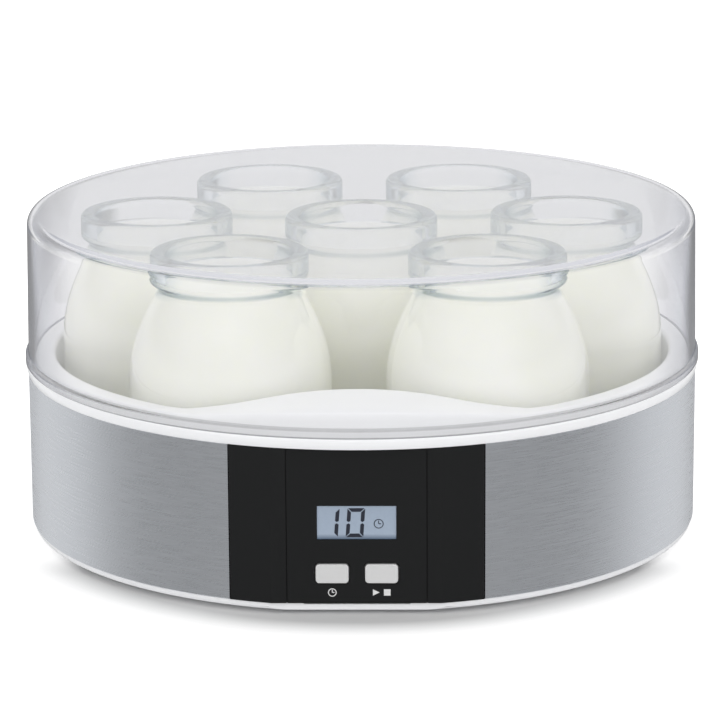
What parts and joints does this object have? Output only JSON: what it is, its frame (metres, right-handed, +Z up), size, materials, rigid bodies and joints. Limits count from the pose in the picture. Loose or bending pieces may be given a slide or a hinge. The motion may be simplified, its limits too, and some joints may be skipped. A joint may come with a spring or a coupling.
{
  "type": "yogurt maker",
  "caption": "Round electric yogurt maker: glass jars stand in a heated well under a clear lift-off lid, with a timer display and push buttons on a flat front panel.",
  "frame": {"origin": "centre of the footprint on the table, at the underside of the rubber feet", "axes": "+Z up, -Y to the front where the control panel is, +X to the right of somebody who faces the panel"},
  "size_m": [0.25, 0.25, 0.119],
  "materials": {
    "white_plastic": "satin moulded white plastic",
    "steel_sheet": "horizontally brushed",
    "black_plastic": "satin black",
    "overlay_film": "smooth black overlay",
    "window_lens": "tinted display window",
    "button_grey": "satin light grey",
    "jar_glass": "clear pressed glass",
    "lid_clear": "clear moulded plastic",
    "foot_rubber": "matte rubber",
    "plate_metal": "plain aluminium",
    "gasket_silicone": "silicone",
    "heater_mat": "silicone heater mat",
    "felt": "needled felt",
    "plated_steel": "zinc plated",
    "board_green": "circuit board",
    "component_black": "component moulding",
    "component_yellow": "component moulding",
    "component_green": "component moulding",
    "ceramic_white": "sleeved fuse body",
    "lcd_glass": "display module"
  },
  "bodies": {
    "housing": {"base_tray": "white_plastic", "rubber_feet": "foot_rubber", "base_screws": "plated_steel", "steel_band": "steel_sheet", "top_housing": "white_plastic", "heating_plate": "plate_metal", "plate_gasket": "gasket_silicone", "ring_heater": "heater_mat", "insulation_felt": "felt", "clamp_spider": "plated_steel", "clamp_nuts": "plated_steel", "temperature_sensor": "plate_metal", "thermal_fuse": "ceramic_white", "fuse_clip": "plated_steel", "power_board": "board_green", "power_board_screws": "plated_steel", "relay": "component_black", "transformer": "component_yellow", "film_capacitor": "component_yellow", "terminal_block": "component_green", "cord_gland": "black_plastic", "control_panel": "black_plastic", "panel_overlay": "overlay_film", "display_window": "window_lens", "display_module": "lcd_glass", "control_board": "board_green", "control_board_screws": "plated_steel", "tact_switches": "component_black", "buzzer": "component_black"},
    "lid": {"lid": "lid_clear"},
    "time_button": {"time_button": "button_grey", "time_plunger": "component_black"},
    "start_button": {"start_button": "button_grey", "start_plunger": "component_black"},
    "jar_center": {"jar_center": "jar_glass"},
    "jar_front_left": {"jar_front_left": "jar_glass"},
    "jar_left": {"jar_left": "jar_glass"},
    "jar_rear_left": {"jar_rear_left": "jar_glass"},
    "jar_rear_right": {"jar_rear_right": "jar_glass"},
    "jar_right": {"jar_right": "jar_glass"},
    "jar_front_right": {"jar_front_right": "jar_glass"}
  },
  "joints": [
    {"name": "lid_lift", "type": "slide", "parent": "housing", "child": "lid", "axis": [0, 0, 1], "range_m": [0, 0.22]},
    {"name": "jar_center_lift", "type": "slide", "parent": "housing", "child": "jar_center", "axis": [0, 0, 1], "range_m": [0, 0.11]},
    {"name": "jar_front_left_lift", "type": "slide", "parent": "housing", "child": "jar_front_left", "axis": [0, 0, 1], "range_m": [0, 0.11]},
    {"name": "jar_left_lift", "type": "slide", "parent": "housing", "child": "jar_left", "axis": [0, 0, 1], "range_m": [0, 0.11]},
    {"name": "jar_rear_left_lift", "type": "slide", "parent": "housing", "child": "jar_rear_left", "axis": [0, 0, 1], "range_m": [0, 0.11]},
    {"name": "jar_rear_right_lift", "type": "slide", "parent": "housing", "child": "jar_rear_right", "axis": [0, 0, 1], "range_m": [0, 0.11]},
    {"name": "jar_right_lift", "type": "slide", "parent": "housing", "child": "jar_right", "axis": [0, 0, 1], "range_m": [0, 0.11]},
    {"name": "jar_front_right_lift", "type": "slide", "parent": "housing", "child": "jar_front_right", "axis": [0, 0, 1], "range_m": [0, 0.11]},
    {"name": "time_button_press", "type": "slide", "parent": "housing", "child": "time_button", "axis": [0, 1, 0], "range_m": [0, 0.0005], "stiffness_N_per_m": 600},
    {"name": "start_button_press", "type": "slide", "parent": "housing", "child": "start_button", "axis": [0, 1, 0], "range_m": [0, 0.0005], "stiffness_N_per_m": 600}
  ],
  "couplings": [
    {"joint": "jar_center_lift", "follows": "lid_lift", "ratio": 0.5},
    {"joint": "jar_front_left_lift", "follows": "lid_lift", "ratio": 0.5},
    {"joint": "jar_left_lift", "follows": "lid_lift", "ratio": 0.5},
    {"joint": "jar_rear_left_lift", "follows": "lid_lift", "ratio": 0.5},
    {"joint": "jar_rear_right_lift", "follows": "lid_lift", "ratio": 0.5},
    {"joint": "jar_right_lift", "follows": "lid_lift", "ratio": 0.5},
    {"joint": "jar_front_right_lift", "follows": "lid_lift", "ratio": 0.5}
  ]
}
